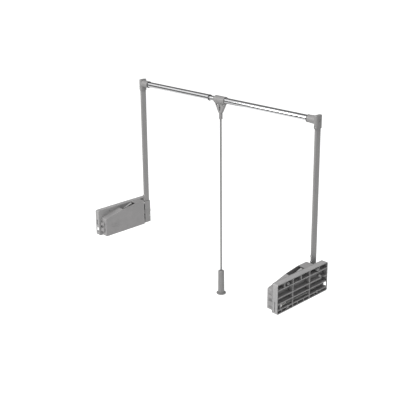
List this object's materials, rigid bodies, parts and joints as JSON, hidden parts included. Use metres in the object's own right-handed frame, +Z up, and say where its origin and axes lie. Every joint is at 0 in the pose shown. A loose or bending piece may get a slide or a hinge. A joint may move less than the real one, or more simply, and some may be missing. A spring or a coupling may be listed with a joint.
{
  "type": "pull-down wardrobe rail",
  "caption": "Pull-down wardrobe lift: wall housings with swinging arms, a telescopic hanging rail and a pull rod with a grip.",
  "frame": {"origin": "centre of the left housing's wall-screw pattern, on the plane that meets the wardrobe side", "axes": "+X along the rail from the left housing to the right one, +Y toward the side the arms swing down to, +Z up"},
  "size_m": [1.094, 0.293, 0.89],
  "materials": {
    "base_plastic": "moulded, fine texture",
    "cover_plastic": "moulded satin grey",
    "grey_paint": "satin grey powder coat",
    "grey_fitting": "moulded satin grey",
    "chrome": "polished",
    "zinc_steel": "zinc plated",
    "spring_steel": "oiled spring wire",
    "dark_plastic": "matte",
    "pale_plastic": "low-friction acetal",
    "rubber": "matte",
    "rod_steel": "grey coated rod"
  },
  "bodies": {
    "left_housing": {"left_base": "base_plastic", "left_cover": "cover_plastic", "left_cheek_plate": "grey_paint", "left_spacers": "zinc_steel", "left_axle": "zinc_steel", "left_axle_clip": "zinc_steel", "left_stop_posts": "zinc_steel", "left_stop_rubbers": "rubber", "left_cover_screws": "zinc_steel", "left_spring": "spring_steel", "left_spring_seat": "pale_plastic", "left_damper_cylinder": "dark_plastic", "left_damper_saddle": "pale_plastic"},
    "right_housing": {"right_base": "base_plastic", "right_cover": "cover_plastic", "right_cheek_plate": "grey_paint", "right_spacers": "zinc_steel", "right_axle": "zinc_steel", "right_axle_clip": "zinc_steel", "right_stop_posts": "zinc_steel", "right_stop_rubbers": "rubber", "right_cover_screws": "zinc_steel", "right_spring": "spring_steel", "right_spring_seat": "pale_plastic", "right_damper_cylinder": "dark_plastic", "right_damper_saddle": "pale_plastic"},
    "left_frame": {"left_arm_foot": "zinc_steel", "left_foot_bush": "pale_plastic", "left_arm_tube": "grey_paint", "left_elbow": "grey_fitting", "left_rail_plug": "dark_plastic", "left_elbow_screw": "zinc_steel", "left_arm_screws": "zinc_steel", "left_rail_tube": "chrome", "left_tube_bush": "dark_plastic"},
    "right_frame": {"right_arm_foot": "zinc_steel", "right_foot_bush": "pale_plastic", "right_arm_tube": "grey_paint", "right_elbow": "grey_fitting", "right_rail_plug": "dark_plastic", "right_elbow_screw": "zinc_steel", "right_arm_screws": "zinc_steel", "right_rail_tube": "chrome", "inner_tube": "chrome", "inner_tube_bush": "pale_plastic", "right_tube_ferrule": "dark_plastic", "rod_keeper": "zinc_steel"},
    "pull_handle": {"bracket_front": "grey_fitting", "bracket_back": "grey_fitting", "bracket_screws": "zinc_steel", "pull_rod": "rod_steel", "grip": "grey_fitting", "grip_cap": "grey_fitting"},
    "left_spring_fork": {"left_spring_slider": "zinc_steel"},
    "right_spring_fork": {"right_spring_slider": "zinc_steel"},
    "left_damper_fork": {"left_damper_rod": "zinc_steel"},
    "right_damper_fork": {"right_damper_rod": "zinc_steel"}
  },
  "joints": [
    {"name": "swing", "type": "hinge", "parent": "left_housing", "child": "left_frame", "pos_m": [0.047, 0.1165, 0], "axis": [-1, 0, 0], "range_deg": [0, 110], "stiffness_Nm_per_rad": 15, "springref_deg": -28.65, "deforming": ["left_spring", "right_spring"]},
    {"name": "width_adjust", "type": "slide", "parent": "left_housing", "child": "right_housing", "axis": [1, 0, 0], "range_m": [-0.018, 0.2]},
    {"name": "rail_extend", "type": "slide", "parent": "left_frame", "child": "right_frame", "axis": [1, 0, 0], "range_m": [-0.0181, 0.2001]},
    {"name": "rod_swing", "type": "hinge", "parent": "right_frame", "child": "pull_handle", "pos_m": [0.546, 0.1165, 0.614], "axis": [1, 0, 0], "range_deg": [-45, 135]},
    {"name": "left_spring_travel", "type": "slide", "parent": "left_housing", "child": "left_spring_fork", "axis": [0, -1, 0], "range_m": [-0.0001, 0.0263]},
    {"name": "left_damper_travel", "type": "slide", "parent": "left_housing", "child": "left_damper_fork", "axis": [0, 1, 0], "range_m": [-0.0001, 0.0263]},
    {"name": "right_spring_travel", "type": "slide", "parent": "right_housing", "child": "right_spring_fork", "axis": [0, -1, 0], "range_m": [-0.0001, 0.0263]},
    {"name": "right_damper_travel", "type": "slide", "parent": "right_housing", "child": "right_damper_fork", "axis": [0, 1, 0], "range_m": [-0.0001, 0.0263]}
  ],
  "couplings": [
    {"joint": "rail_extend", "follows": "width_adjust", "ratio": 1},
    {"joint": "left_spring_travel", "follows": "swing", "m_per_rad": 0.013654},
    {"joint": "left_damper_travel", "follows": "swing", "m_per_rad": 0.013654},
    {"joint": "right_spring_travel", "follows": "swing", "m_per_rad": 0.013654},
    {"joint": "right_damper_travel", "follows": "swing", "m_per_rad": 0.013654}
  ]
}
